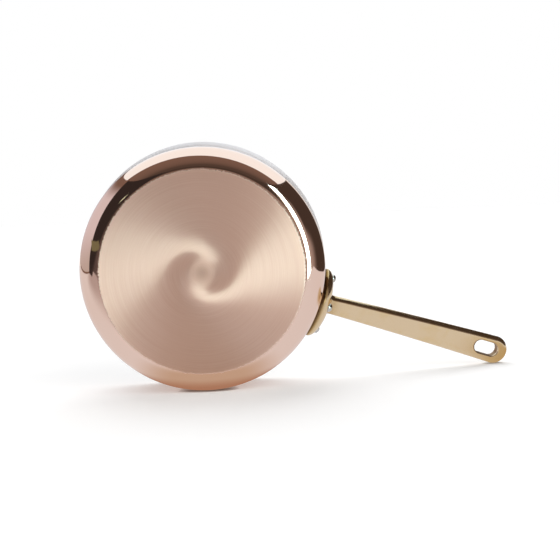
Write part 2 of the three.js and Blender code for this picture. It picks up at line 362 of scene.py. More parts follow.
def skin_of_field(field, low, high, cell):
    """Vertices, faces and normals of a field's zero level, with one vertex in each cell that it crosses."""
    counts = np.ceil((high - low) / cell).astype(int) + 1
    axes = [low[k] + cell * np.arange(counts[k]) for k in range(3)]
    corners = np.stack(np.meshgrid(*axes, indexing="ij"), -1).reshape(-1, 3)
    inside = (field(corners) < 0).reshape(counts)
    cell_corners = [(i, j, k) for i in (0, 1) for j in (0, 1) for k in (0, 1)]
    together = sum(inside[i:counts[0] - 1 + i, j:counts[1] - 1 + j, k:counts[2] - 1 + k].astype(int)
                   for i, j, k in cell_corners)
    crossed = (together > 0) & (together < len(cell_corners))
    number = np.full(crossed.shape, -1)
    number[crossed] = np.arange(crossed.sum())
    vertices = low + cell * (np.argwhere(crossed) + 0.5)
    for _ in range(SKIN_TRIES):
        slope = field_gradient(field, vertices)
        vertices = vertices - slope * (field(vertices) / np.sum(slope * slope, 1))[:, None]
    normals = field_gradient(field, vertices)
    normals /= np.linalg.norm(normals, axis=1)[:, None]
    faces = []
    for axis in range(3):
        one = (axis + 1) % 3
        two = (axis + 2) % 3
        edges = np.diff(inside.astype(int), axis=axis)
        for sign in (-1, 1):
            places = np.argwhere(edges == sign)
            around = []
            for back_one, back_two in ((1, 1), (0, 1), (0, 0), (1, 0)):
                cells = places.copy()
                cells[:, one] -= back_one
                cells[:, two] -= back_two
                around.append(number[tuple(cells.T)])
            quads = np.stack(around if sign < 0 else around[::-1], 1)
            faces += quads.tolist()
    return vertices, faces, normals


def handle_shape():
    low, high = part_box("brass_handle")
    low = np.array(low) / MM - CASTING_MARGIN
    high = np.array(high) / MM + CASTING_MARGIN
    return skin_of_field(handle_field, low, high, CASTING_CELL)


# Shapes of the rivets, turned round their own axis from the inner head's crown to the outer head's

def dome_profile(radius, base, height):
    """Points and normals of a low dome from its rim to its crown."""
    points = []
    normals = []
    for i in range(DOME_STEPS + 1):
        angle = math.pi / 2 * i / DOME_STEPS
        points.append(np.array([radius * math.cos(angle), base + height * math.sin(angle)]))
        normals.append(unit(np.array([math.cos(angle) / radius, math.sin(angle) / height])))
    return points, normals


def flange_thickness(share):
    """Thickness of the flange's dome at a share of the way from its centre to its rim."""
    return FLANGE_EDGE + (FLANGE_THICKNESS - FLANGE_EDGE) * math.sqrt(1 - share ** 4)


def rivet_shape(seat):
    """A rivet along Z, its outer head on a seat at a distance from the pan's axis."""
    inner_seat = math.sqrt(lining_inner_radius ** 2 - INNER_HEAD_RADIUS ** 2) - SEAT_GAP
    outer_seat = seat + SEAT_GAP
    inner, inner_normals = dome_profile(INNER_HEAD_RADIUS, inner_seat, -INNER_HEAD_HEIGHT)
    outer, outer_normals = dome_profile(OUTER_HEAD_RADIUS, outer_seat, OUTER_HEAD_HEIGHT)
    lining_seat = lining_inner_radius + LINING_THICKNESS / 2
    skirt = outer_seat - OUTER_HEAD_SKIRT
    sideways = np.array([1.0, 0.0])
    shank = [(INNER_HEAD_RADIUS, lining_seat), (SHANK_RADIUS, lining_seat),
             (SHANK_RADIUS, skirt), (OUTER_HEAD_RADIUS, skirt)]
    points = inner[::-1] + [np.array(point) for point in shank] + outer
    normals = inner_normals[::-1] + [sideways] * len(shank) + outer_normals
    return turned((points, normals), RIVET_SEGMENTS)


def rivet_places():
    """Name, distance along the wall and height over the flange's centre of each rivet."""
    side = flange_half_width - RIVET_END_DISTANCE
    return [
        ("rivet_left", side, RIVET_SIDE_RAISE),
        ("rivet_right", -side, RIVET_SIDE_RAISE),
        ("rivet_lower", 0.0, RIVET_LOWER_DISTANCE - flange_half_height),
    ]


# Building of node materials
OCCLUSION_SAMPLES = 8
MIX_COLOUR_INPUTS = (6, 7)
MIX_COLOUR_OUTPUT = 2


def metres(*lengths):
    return [length * MM for length in lengths]


def add_node(tree, kind, inputs=None, **settings):
    """A shader node with its settings, and with values or other nodes' outputs on its inputs."""
    made = tree.nodes.new(kind)
    for name, value in settings.items():
        setattr(made, name, value)
    for name, value in (inputs or {}).items():
        if isinstance(value, bpy.types.NodeSocket):
            tree.links.new(value, made.inputs[name])
        else:
            made.inputs[name].default_value = value
    return made


def math_node(tree, operation, first, second=0.0, third=0.0):
    return add_node(tree, "ShaderNodeMath", {0: first, 1: second, 2: third}, operation=operation).outputs[0]


def map_range(tree, value, between, results):
    """Goes smoothly from one result to the other while the value crosses a range."""
    inputs = {
        "Value": value,
        "From Min": between[0],
        "From Max": between[1],
        "To Min": results[0],
        "To Max": results[1],
    }
    return add_node(tree, "ShaderNodeMapRange", inputs, interpolation_type="SMOOTHSTEP").outputs["Result"]


def noise(tree, vector, grain):
    """Noise over a vector, with a grain of scale and detail."""
    inputs = {"Vector": vector, "Scale": grain[0], "Detail": grain[1]}
    return add_node(tree, "ShaderNodeTexNoise", inputs).outputs[0]


def mix_colours(tree, factor, first, second):
    mixed = add_node(tree, "ShaderNodeMix", {"Factor": factor}, data_type="RGBA")
    for index, value in zip(MIX_COLOUR_INPUTS, (first, second)):
        if isinstance(value, bpy.types.NodeSocket):
            tree.links.new(value, mixed.inputs[index])
        else:
            mixed.inputs[index].default_value = (*value, 1)
    return mixed.outputs[MIX_COLOUR_OUTPUT]


def vector_length(tree, vector):
    return add_node(tree, "ShaderNodeVectorMath", {0: vector}, operation="LENGTH").outputs["Value"]


def vector_parts(tree, vector):
    return add_node(tree, "ShaderNodeSeparateXYZ", {0: vector}).outputs


def object_place(tree):
    return add_node(tree, "ShaderNodeTexCoord").outputs["Object"]


def open_share(tree, reach):
    """1 in the open and less where something stands within a reach, as in the seams between pieces; it sets
    where shade is painted.
    """
    inputs = {"Distance": reach}
    return add_node(tree, "ShaderNodeAmbientOcclusion", inputs, samples=OCCLUSION_SAMPLES).outputs["AO"]


def new_material(name):
    material = bpy.data.materials.new(name)
    material.use_nodes = True
    tree = material.node_tree
    shader = tree.nodes["Principled BSDF"]
    shader.inputs["Metallic"].default_value = 1.0
    return material, tree, shader


def add_bump(tree, shader, height, strength, depth):
    """Raises a material's surface a little by a height, with a depth in metres."""
    bump = add_node(tree, "ShaderNodeBump", {"Strength": strength, "Distance": depth, "Height": height})
    tree.links.new(bump.outputs[0], shader.inputs["Normal"])


# Fine lines round the pan's axis, where a grain is a scale and a detail
RING_FINENESS = 1500
LINE_GRAIN = (1.0, 4)
LINE_RANGE = (0.3, 0.7)


def ring_coordinates(tree):
    """Radius and direction from the pan's axis, and a vector that varies fast across rings."""
    place = vector_parts(tree, object_place(tree))
    flat = add_node(tree, "ShaderNodeCombineXYZ", {0: place[0], 1: place[1]}).outputs[0]
    radius = vector_length(tree, flat)
    outward = add_node(tree, "ShaderNodeVectorMath", {0: flat}, operation="NORMALIZE").outputs[0]
    direction = vector_parts(tree, outward)
    across = math_node(tree, "MULTIPLY", math_node(tree, "ADD", radius, place[2]), RING_FINENESS)
    rings = add_node(tree, "ShaderNodeCombineXYZ", {0: direction[0], 1: direction[1], 2: across})
    return radius, outward, rings.outputs[0]


# Copper, polished on the wall and the corner
COPPER_COLOUR = (0.93, 0.70, 0.58)
COPPER_DEEP = (0.90, 0.64, 0.51)
COPPER_TINT_GRAIN = (14, 3)
COPPER_TINT_RANGE = (0.5, 0.8)
COPPER_TINT_SHARE = 0.5
POLISH_ROUGHNESS = (0.03, 0.06)

# Brushing of the base: its finish, where it ends, and how far its spread of light turns from the radius
BRUSHED_COPPER = (0.91, 0.62, 0.49)
BRUSHED_DEEP = (0.87, 0.57, 0.44)
# Painted shade: the brushed base's colour is darker at its centre, standing in for the dimmer reflection
# there
BRUSHED_CENTRE_SHADE = (0.70, 0.505, 0.41)
BRUSH_BROAD_GRAIN = (0.16, 2)
BRUSH_BROAD_SHARE = 0.1
BRUSH_ROUGHNESS = (0.455, 0.485)
BRUSH_ANISOTROPY = 0.98
BRUSH_METALLIC = 0.70
BRUSH_BUMP = (0.03, 0.0002)
BRUSH_EDGE_WIDTHS = (1.7, 1.2)
BRUSH_EDGE_TEETH = 2.5
BRUSH_EDGE_GRAIN = (55, 2)
BRUSH_CORE_TURN = math.radians(-95)
BRUSH_CORE_RADIUS = 24.3
BRUSH_CORE_POWER = 5.8
BRUSH_RIM_TURN = math.radians(-16)
BRUSH_DRIFT_TURN = math.radians(-28)
BRUSH_CALM_RADII = (0.0, 15.5)
BRUSH_CALM_ROUGHNESS = 0.48


def brushed_share(tree, radius, outward):
    """1 on the brushed base and 0 beyond its ragged edge."""
    teeth = noise(tree, outward, BRUSH_EDGE_GRAIN)
    ragged = math_node(tree, "MULTIPLY", math_node(tree, "SUBTRACT", teeth, 0.5), BRUSH_EDGE_TEETH * MM)
    edge = math_node(tree, "ADD", radius, ragged)
    inside, outside = BRUSH_EDGE_WIDTHS
    return map_range(tree, edge, metres(flat_radius - inside, flat_radius + outside), (1, 0))


def brushed_spread(tree, radius, outward):
    """Direction in which the brushed base spreads light: outward at the rim, swirling towards the centre."""
    core_share = math_node(tree, "DIVIDE", radius, BRUSH_CORE_RADIUS * MM)
    core_fall = math_node(tree, "ADD", math_node(tree, "POWER", core_share, BRUSH_CORE_POWER), 1.0)
    core = math_node(tree, "DIVIDE", BRUSH_CORE_TURN, core_fall)
    inward = math_node(tree, "SUBTRACT", 1.0, math_node(tree, "DIVIDE", radius, flat_radius * MM))
    drift = math_node(tree, "MULTIPLY_ADD", inward, BRUSH_DRIFT_TURN, BRUSH_RIM_TURN)
    inputs = {"Vector": outward, "Angle": math_node(tree, "ADD", core, drift)}
    return add_node(tree, "ShaderNodeVectorRotate", inputs, rotation_type="Z_AXIS").outputs[0]


def copper_finish():
    """Mirror polish on the corner and the wall, and a base with the fine lines of a turning brush."""
    material, tree, shader = new_material("copper")
    radius, outward, rings = ring_coordinates(tree)
    brushed = brushed_share(tree, radius, outward)
    near_centre = map_range(tree, radius, metres(*BRUSH_CALM_RADII), (1, 0))

    lines = noise(tree, rings, LINE_GRAIN)
    broad = noise(tree, rings, BRUSH_BROAD_GRAIN)
    fine = math_node(tree, "MULTIPLY", lines, 1 - BRUSH_BROAD_SHARE)
    tone = math_node(tree, "MULTIPLY_ADD", broad, BRUSH_BROAD_SHARE, fine)
    tint = noise(tree, object_place(tree), COPPER_TINT_GRAIN)
    tint = map_range(tree, tint, COPPER_TINT_RANGE, (0, COPPER_TINT_SHARE))
    polished = mix_colours(tree, tint, COPPER_COLOUR, COPPER_DEEP)
    satin = mix_colours(tree, map_range(tree, tone, LINE_RANGE, (0, 1)), BRUSHED_COPPER, BRUSHED_DEEP)
    # Painted shade: the centre of the brushed base is given a darker colour
    satin = mix_colours(tree, near_centre, satin, BRUSHED_CENTRE_SHADE)
    tree.links.new(mix_colours(tree, brushed, polished, satin), shader.inputs["Base Color"])
    tree.links.new(map_range(tree, brushed, (0, 1), (1, BRUSH_METALLIC)), shader.inputs["Metallic"])

    smooth = map_range(tree, lines, LINE_RANGE, POLISH_ROUGHNESS)
    rough = map_range(tree, tone, LINE_RANGE, BRUSH_ROUGHNESS)
    rough = math_node(tree, "MULTIPLY_ADD", near_centre, BRUSH_CALM_ROUGHNESS, rough)
    extra = math_node(tree, "MULTIPLY", brushed, math_node(tree, "SUBTRACT", rough, smooth))
    tree.links.new(math_node(tree, "ADD", smooth, extra), shader.inputs["Roughness"])

    drawn = map_range(tree, near_centre, (0, 1), (BRUSH_ANISOTROPY, 0))
    tree.links.new(math_node(tree, "MULTIPLY", brushed, drawn), shader.inputs["Anisotropic"])
    tree.links.new(brushed_spread(tree, radius, outward), shader.inputs["Tangent"])
    strength, depth = BRUSH_BUMP
    add_bump(tree, shader, lines, math_node(tree, "MULTIPLY", brushed, strength), depth)
    return material


# Steel of the lining, with painted shade in the seam at the copper and painted light under its lip: paler
# there, and dull enough underneath to stay pale facing something dark
LINING_COLOUR = (0.64, 0.625, 0.615)
LINING_DEEP = (0.56, 0.545, 0.535)
LINING_METALLIC = 0.9
LINING_ROUGHNESS = (0.26, 0.40)
LINING_BUMP = (0.01, 0.0002)
# Painted shade in the seam where the lip leaves the copper
LINING_SEAM_SHADE = (0.32, 0.27, 0.25)
LINING_SEAM_SHADE_REACH = 8.0
LINING_SEAM_SHADE_RANGE = (0.68, 0.95)
# Painted light: the lip's underside is paler and less metallic than the rest of the steel
LIP_PAINTED_LIGHT = (0.89, 0.87, 0.875)
LIP_PAINTED_LIGHT_DEEP = (0.85, 0.83, 0.835)
LIP_METALLIC = 0.3
LIP_HEIGHTS = (56.0, 59.0)
LIP_UNDERSIDE = (0.3, 0.0)


def lining_finish():
    """Steel with fine lines round the pan's axis, with painted shade in the seam where the lip leaves the
    copper and painted light under the lip.
    """
    material, tree, shader = new_material("lining_steel")
    height = vector_parts(tree, object_place(tree))[2]
    # Painted light: the underside of the lip is paler and duller, to stay pale facing the dark studio
    facing = add_node(tree, "ShaderNodeNewGeometry").outputs["Normal"]
    underneath = map_range(tree, vector_parts(tree, facing)[2], LIP_UNDERSIDE, (0, 1))
    near_lip = map_range(tree, height, metres(*LIP_HEIGHTS), (0, 1))
    painted_light_on_lip = math_node(tree, "MULTIPLY", near_lip, underneath)
    metallic = map_range(tree, painted_light_on_lip, (0, 1), (LINING_METALLIC, LIP_METALLIC))
    tree.links.new(metallic, shader.inputs["Metallic"])
    _, _, rings = ring_coordinates(tree)
    lines = noise(tree, rings, LINE_GRAIN)
    tone = map_range(tree, lines, LINE_RANGE, (0, 1))
    inside = mix_colours(tree, tone, LINING_COLOUR, LINING_DEEP)
    colour = mix_colours(tree, painted_light_on_lip, inside, mix_colours(tree, tone, LIP_PAINTED_LIGHT, LIP_PAINTED_LIGHT_DEEP))
    # Painted shade: the steel's colour darkens in the seam where the lip leaves the copper
    out_of_seam_shade = map_range(tree, open_share(tree, LINING_SEAM_SHADE_REACH * MM), LINING_SEAM_SHADE_RANGE, (0, 1))
    tree.links.new(mix_colours(tree, out_of_seam_shade, LINING_SEAM_SHADE, colour), shader.inputs["Base Color"])
    tree.links.new(map_range(tree, lines, LINE_RANGE, LINING_ROUGHNESS), shader.inputs["Roughness"])
    add_bump(tree, shader, lines, *LINING_BUMP)
    return material


# Brass of the handle: painted shade round the flange, darkest in its seams, and a slot left unpolished and
# darkened by painted shade
BRASS_COLOUR = (0.83, 0.65, 0.42)
BRASS_DEEP = (0.80, 0.58, 0.27)
BRASS_CLOUD_GRAIN = (55, 3)
BRASS_CLOUD_RANGE = (0.42, 0.75)
BRASS_CLOUD_SHARE = 0.6
BRASS_LINE_STRETCH = (30, 900, 900)
BRASS_LINE_GRAIN = (1.0, 3)
BRASS_ROUGHNESS = (0.10, 0.2)
BRASS_BUMP = (0.03, 0.0004)
BRASS_SHADED = (0.55, 0.34, 0.10)
BRASS_SHADE_REACH = 18.0
BRASS_SHADE_RANGE = (0.6, 1.0)
# Painted shade in the seams between flange and copper wall, darkest there
BRASS_SEAM_SHADE = (0.06, 0.02, 0.008)
BRASS_SEAM_SHADE_REACH = 6.0
BRASS_SEAM_SHADE_RANGE = (0.62, 0.97)
BRASS_SHADE_END = (120.0, 135.0)
# Painted shade on the slot's walls, which are also left unpolished
SLOT_PAINTED_SHADE = (0.34, 0.21, 0.11)
DULL_ROUGHNESS = 0.3
DULL_EDGE = (0.1, 0.5)


def in_slot(tree, place):
    """1 on the walls of the hanging slot, where no polish reaches and shade is painted, and 0 elsewhere."""
    far = bar_tip[0] - (SLOT_END_WALL + SLOT_WIDTH / 2) * math.cos(BAR_TIP_SLOPE)
    near = far - (SLOT_LENGTH - SLOT_WIDTH) * math.cos(BAR_TIP_SLOPE)
    along, sideways, _ = vector_parts(tree, place)
    past_near = math_node(tree, "SUBTRACT", near * MM, along)
    past_far = math_node(tree, "SUBTRACT", along, far * MM)
    past_end = math_node(tree, "MAXIMUM", math_node(tree, "MAXIMUM", past_near, past_far), 0.0)
    away = add_node(tree, "ShaderNodeCombineXYZ", {0: past_end, 1: sideways}).outputs[0]
    edge = [SLOT_WIDTH / 2 + width for width in DULL_EDGE]
    return map_range(tree, vector_length(tree, away), metres(*edge), (1, 0))


def brass_finish():
    """Cast and polished: a little uneven, with faint lines along the bar and deeper gold in places, painted
    shade round the flange and in its seams, and painted shade in the unpolished slot.
    """
    material, tree, shader = new_material("polished_brass")
    place = object_place(tree)
    inputs = {"Vector": place, "Scale": BRASS_LINE_STRETCH}
    lines = noise(tree, add_node(tree, "ShaderNodeMapping", inputs).outputs[0], BRASS_LINE_GRAIN)
    cloud = noise(tree, place, BRASS_CLOUD_GRAIN)
    gold = map_range(tree, cloud, BRASS_CLOUD_RANGE, (0, BRASS_CLOUD_SHARE))
    colour = mix_colours(tree, gold, BRASS_COLOUR, BRASS_DEEP)
    # Painted shade: near the copper wall the brass darkens to deeper gold, and darkest in the seams
    past_flange = map_range(tree, vector_parts(tree, place)[0], metres(*BRASS_SHADE_END), (0, 1))
    for reach, between, shaded in ((BRASS_SHADE_REACH, BRASS_SHADE_RANGE, BRASS_SHADED),
                                   (BRASS_SEAM_SHADE_REACH, BRASS_SEAM_SHADE_RANGE, BRASS_SEAM_SHADE)):
        lit = map_range(tree, open_share(tree, reach * MM), between, (0, 1))
        colour = mix_colours(tree, math_node(tree, "MAXIMUM", lit, past_flange), shaded, colour)
    # The slot's walls are rougher and unpolished, and darker by painted shade
    dull_and_shaded = in_slot(tree, place)
    tree.links.new(mix_colours(tree, dull_and_shaded, colour, SLOT_PAINTED_SHADE), shader.inputs["Base Color"])
    polish = map_range(tree, lines, LINE_RANGE, BRASS_ROUGHNESS)
    rough = math_node(tree, "MULTIPLY_ADD", dull_and_shaded, DULL_ROUGHNESS, polish)
    tree.links.new(rough, shader.inputs["Roughness"])
    add_bump(tree, shader, cloud, *BRASS_BUMP)
    return material


# Steel of the rivets
RIVET_COLOUR = (0.68, 0.65, 0.59)
RIVET_DEEP = (0.54, 0.51, 0.46)
RIVET_CLOUD_GRAIN = (900, 4)
RIVET_CLOUD_RANGE = (0.35, 0.7)
RIVET_ROUGHNESS = (0.14, 0.28)
RIVET_BUMP = (0.08, 0.0003)


def rivet_finish():
    material, tree, shader = new_material("rivet_steel")
    cloud = noise(tree, object_place(tree), RIVET_CLOUD_GRAIN)
    tone = map_range(tree, cloud, RIVET_CLOUD_RANGE, (0, 1))
    colour = mix_colours(tree, tone, RIVET_COLOUR, RIVET_DEEP)
    tree.links.new(colour, shader.inputs["Base Color"])
    tree.links.new(map_range(tree, cloud, LINE_RANGE, RIVET_ROUGHNESS), shader.inputs["Roughness"])
    add_bump(tree, shader, cloud, *RIVET_BUMP)
    return material


# Pieces

def make_pan():
    """Makes all the pieces, and returns the handle and a list of the others."""
    copper = make_piece("copper_shell_fine", copper_shape(), copper_finish(), "copper_shell")
    lining = make_piece("steel_lining_fine", lining_shape(), lining_finish(), "steel_lining")
    brass = brass_finish()
    handle = make_piece("brass_handle_fine", handle_shape(), brass, "brass_handle")
    others = [copper, lining]
    steel = rivet_finish()
    for name, along, up in rivet_places():
        share = math.hypot(along / flange_half_width, up / flange_half_height)
        shape = rivet_shape(flange_radius + flange_thickness(share) - SPOT_FACE_DEPTH)
        height = Matrix.Translation((0, 0, flange_centre + up))
        outwards = Matrix.Rotation(along / WALL_RADIUS, 4, "Z") @ Matrix.Rotation(math.pi / 2, 4, "Y")
        others.append(make_piece(name + "_fine", shape, steel, name, height @ outwards))
    return handle, others


handle, other_pieces = make_pan()


# Camera, placed by where the photograph shows the base and by how the pan is turned to it
IMAGE_SIDE_PIXELS = 560
FOCAL_PIXELS = 1072.0
SENSOR_MM = 36.0
BASE_CENTRE_PIXEL = (202.3, 273.0)
BASE_DISTANCE = 0.857
AXIS_SIDEWAYS = -0.038
AXIS_UPWARDS = 0.144
HANDLE_TURN = math.radians(17.45)


def pan_in_view():
    """The pan's frame as the camera sees it: x right, y up, z back towards the camera."""
    away = -math.sqrt(1 - AXIS_SIDEWAYS ** 2 - AXIS_UPWARDS ** 2)
    axis = Vector((AXIS_SIDEWAYS, AXIS_UPWARDS, away))
    up = (Vector((0, 1, 0)) - axis * axis.y).normalized()
    right = up.cross(-axis)
    along_handle = right * math.cos(HANDLE_TURN) - up * math.sin(HANDLE_TURN)
    turn = Matrix((along_handle, axis.cross(along_handle), axis)).transposed().to_4x4()
    middle = IMAGE_SIDE_PIXELS / 2
    per_pixel = BASE_DISTANCE / FOCAL_PIXELS
    sideways = (BASE_CENTRE_PIXEL[0] - middle) * per_pixel
    upwards = (middle - BASE_CENTRE_PIXEL[1]) * per_pixel
    return Matrix.Translation((sideways, upwards, -BASE_DISTANCE)) @ turn


camera_data = bpy.data.cameras.new("camera")
camera_data.sensor_width = SENSOR_MM
camera_data.lens = SENSOR_MM * FOCAL_PIXELS / IMAGE_SIDE_PIXELS
camera = bpy.data.objects.new("camera", camera_data)
camera.matrix_world = pan_in_view().inverted()
bpy.context.scene.collection.objects.link(camera)
bpy.context.scene.camera = camera


# Studio frame: the pan stands on its side, on a floor that its lip, its corner and the handle's end touch
FLOOR_SEARCH = (math.radians(40), math.radians(90))
FLOOR_SEARCH_HALVINGS = 40


def floor_lean():
    """Lean of the floor to the pan's axis at which it touches lip and corner, and the lip's height."""
    lip_height = lip_corner(lining_inner_radius, LIP_BEND_RADIUS + LINING_THICKNESS)
    lip_height += (LIP_RADIUS - lining_inner_radius) / math.tan(LIP_BEND_ANGLE)
    across = LIP_RADIUS - flat_radius
    along = lip_height - CORNER_RADIUS
    return math.acos(CORNER_RADIUS / math.hypot(across, along)) - math.atan2(along, across), lip_height


def floor_down(azimuth, lean):
    """Direction from the pan's axis down to a floor, by the floor's place round the axis and its lean."""
    level = math.cos(lean)
    return np.array([level * math.cos(azimuth), level * math.sin(azimuth), -math.sin(lean)])


def floor_contact():
    """Direction down to the floor and the floor's distance from the base's centre, in metres."""
    lean, lip_height = floor_lean()
    distance = (LIP_RADIUS * math.cos(lean) - lip_height * math.sin(lean)) * MM
    points = np.array([vertex.co for vertex in handle.data.vertices])
    low, high = FLOOR_SEARCH
    for _ in range(FLOOR_SEARCH_HALVINGS):
        azimuth = (low + high) / 2
        if np.max(points @ floor_down(azimuth, lean)) > distance:
            low = azimuth
        else:
            high = azimuth
    return Vector(floor_down(azimuth, lean)), distance


down, floor_distance = floor_contact()
studio_up = -down
studio_forward = (Vector((0, 0, 1)) - studio_up * studio_up.z).normalized()
studio_right = studio_forward.cross(studio_up)
studio = Matrix((studio_right, studio_forward, studio_up)).transposed().to_4x4()
studio.translation = down * floor_distance


def stage_sheet(name, corners, material, seen=True, mirrored=True):
    """A flat stage sheet, its corners right of, behind and above the floor point under the base's centre."""
    mesh = bpy.data.meshes.new(name)
    mesh.from_pydata(corners, [], [tuple(range(len(corners)))])
    mesh.materials.append(material)
    sheet = bpy.data.objects.new(name, mesh)
    sheet.matrix_world = studio
    bpy.context.scene.collection.objects.link(sheet)
    sheet.visible_camera = seen
    sheet.visible_diffuse = seen
    sheet.visible_shadow = seen
    sheet.visible_glossy = mirrored
    sheet.visible_transmission = mirrored
    return sheet


def glow_material(name):
    """A stage material with nothing in it but a white light, which is still to be joined to an output."""
    material = bpy.data.materials.new(name)
    material.use_nodes = True
    tree = material.node_tree
    tree.nodes.clear()
    light = add_node(tree, "ShaderNodeEmission", {"Color": (1, 1, 1, 1), "Strength": 1.0})
    return material, tree, light


def square(reach):
    return [(-reach, -reach, 0), (reach, -reach, 0), (reach, reach, 0), (-reach, reach, 0)]


def show_front(tree, front):
    """Ends a stage material: the front is as given, the back lets everything through."""
    back = add_node(tree, "ShaderNodeBsdfTransparent")
    behind = add_node(tree, "ShaderNodeNewGeometry").outputs["Backfacing"]
    both = add_node(tree, "ShaderNodeMixShader", {0: behind, 1: front, 2: back.outputs[0]})
    add_node(tree, "ShaderNodeOutputMaterial", {"Surface": both.outputs[0]})


# Floor: plain white to the camera apart from the shadow that the pan and the handle throw on it, and a
# painted contact shadow close to the pan
FLOOR_REACH = 6.0
FLOOR_COLOUR = (0.8, 0.8, 0.8)
FLOOR_GLOW = 0.28
# Painted contact shadow on the floor close to the pan
CONTACT_SHADE_COLOUR = (0.30, 0.27, 0.25)
CONTACT_SHADE_REACH = 0.0035


def make_floor():
    material, tree, light = glow_material("floor")
    path = add_node(tree, "ShaderNodeLightPath").outputs
    # Painted shadow: near the pan the floor's glow fades and its colour darkens
    unshaded = open_share(tree, CONTACT_SHADE_REACH)
    glow = math_node(tree, "MULTIPLY", unshaded, FLOOR_GLOW)
    tree.links.new(math_node(tree, "MULTIPLY", path["Is Camera Ray"], glow), light.inputs["Strength"])
    colour = mix_colours(tree, unshaded, CONTACT_SHADE_COLOUR, FLOOR_COLOUR)
    matt = add_node(tree, "ShaderNodeBsdfDiffuse", {"Color": colour})
    both = add_node(tree, "ShaderNodeAddShader", {0: light.outputs[0], 1: matt.outputs[0]})
    show_front(tree, both.outputs[0])
    floor = stage_sheet("floor", square(FLOOR_REACH), material, mirrored=False)
    floor.visible_shadow = False


# Table: the part of the floor that the metal mirrors, with painted shade dim at the front left and painted
# shadow under the pan and the handle, warm where copper and brass light it from close by
TABLE_CORNERS = ((-8.0, -2.0), (-0.2, -0.49), (0.18, -0.385), (0.35, -0.4), (0.57, -0.4),
                 (0.7, 0.0), (0.99, 1.28), (0.99, 2.5), (-8.0, 2.5))
TABLE_COLOUR = (0.75, 0.745, 0.78)
# Painted shade and shadow, warmed by painted light bounced from copper and brass
DIM_PAINTED_SHADE = (0.47, 0.41, 0.41)
DIM_PLACE = (-0.4, -0.5)
DIM_REACH = (0.55, 0.45)
TAN_PAINTED_SHADE = (0.56, 0.45, 0.36)
TAN_PLACE = (0, 0)
TAN_REACH = (0.085, 0.12)
ORANGE_PAINTED_SHADOW = (0.42, 0.24, 0.16)
ORANGE_PLACE = (0, 0.05)
ORANGE_REACH = (0.08, 0.055)
GOLD_PAINTED_SHADOW = (0.56, 0.45, 0.28)
GOLD_PLACE = (0.30, 0.09)
GOLD_REACH = (0.085, 0.085)
SOFT_CORE = 0.35
HARD_CORE = 0.6


def near_place(tree, centre, reach, core):
    """1 near a place on the floor, and from a core share of the reach sideways and forward down to 0."""
    mapped = add_node(tree, "ShaderNodeMapping", {
        "Vector": object_place(tree),
        "Location": (-centre[0] / reach[0], -centre[1] / reach[1], 0),
        "Scale": (1 / reach[0], 1 / reach[1], 1),
    }).outputs[0]
    return map_range(tree, vector_length(tree, mapped), (core, 1), (1, 0))


def make_table():
    material, tree, light = glow_material("table")
    colour = TABLE_COLOUR
    # Painted shadow and reflected light: dim at the front left, tan and orange under and in front of the pan,
    # gold near the handle's end
    for place, reach, core, tint in ((DIM_PLACE, DIM_REACH, SOFT_CORE, DIM_PAINTED_SHADE),
                                     (TAN_PLACE, TAN_REACH, SOFT_CORE, TAN_PAINTED_SHADE),
                                     (ORANGE_PLACE, ORANGE_REACH, HARD_CORE, ORANGE_PAINTED_SHADOW),
                                     (GOLD_PLACE, GOLD_REACH, SOFT_CORE, GOLD_PAINTED_SHADOW)):
        colour = mix_colours(tree, near_place(tree, place, reach, core), colour, tint)
    tree.links.new(colour, light.inputs["Color"])
    show_front(tree, light.outputs[0])
    corners = [(right, forward, 0) for right, forward in TABLE_CORNERS]
    stage_sheet("table", corners, material, seen=False)


# Shelf: the level under the base, seen only from above, so that the pan stands on something in other views
SHELF_REACH = 2.4
SHELF_GAP = 0.0005
SHELF_SHADE_REACH = 0.12
SHELF_SHADE = 0.55


def make_shelf():
    material, tree, light = glow_material("shelf")
    # Painted shadow: the shelf's glow dims near the pan
    shade = map_range(tree, open_share(tree, SHELF_SHADE_REACH), (0, 1), (SHELF_SHADE, 1))
    tree.links.new(shade, light.inputs["Strength"])
    show_front(tree, light.outputs[0])
    shelf = stage_sheet("shelf", square(SHELF_REACH), material, mirrored=False)
    shelf.matrix_world = Matrix.Translation((0, 0, -SHELF_GAP))
    shelf.visible_diffuse = False
    shelf.visible_shadow = False


# Studio that the metal mirrors: a white panel above, flags and a pale reflector beside, a dark room in front
PANEL_LEFT = -0.455
PANEL_RIGHT = 0.54
PANEL_HEIGHT = 0.6
PANEL_FRONT_LEFT = -0.081
PANEL_FRONT_RIGHT = -0.253
REFLECTOR_FRONT_LOW = -0.235
REFLECTOR_FRONT_HIGH = -0.158
REFLECTOR_LOW_FRONT = 0.042
REFLECTOR_LOW_BACK = 0.31
REFLECTOR_HEM = 0.008
REFLECTOR_TOP = 0.38
REFLECTOR_DARK = 0.54
REFLECTOR_FADE = (0.25, 0.06)
REFLECTOR_FAR = (0.4, 2.0)
BOOM_DARK_FRONT = -1.5
FLAG_FRONT = -0.45
FLAG_MIDDLE = 0.1
FLAG_BACK = 1.1
FLAG_LOW = 0.022
FLAG_FOOT = (0.05, -0.05)
FLAG_GLOW_END = -0.1
FLAG_GLOW_TOP = (0.1, 0.24)
FLAG_BEIGE_FRONT = 0.65
ROOM_SIDE = 2.4
ROOM_GROUND = -0.6
ROOM_HEIGHT = 2.0
ROOM_FRONT = -3.0
ROOM_BACK = 2.5
CEILING_BACK = -0.3
RIGHT_WALL_BACK = 0.5
GROUND_WARM = (0.1, 0.5)
FRONT_WALL_WARM = (0.3, -0.1)
CARD_STEP = 0.002
WHITE = (1.03, 1.14, 1.22)
PALE = (0.71, 0.67, 0.74)
HEM_COLOUR = (0.52, 0.47, 0.46)
BROWN = (0.20, 0.13, 0.105)
MID_BROWN = (0.085, 0.060, 0.049)
DARK_BROWN = (0.060, 0.042, 0.034)
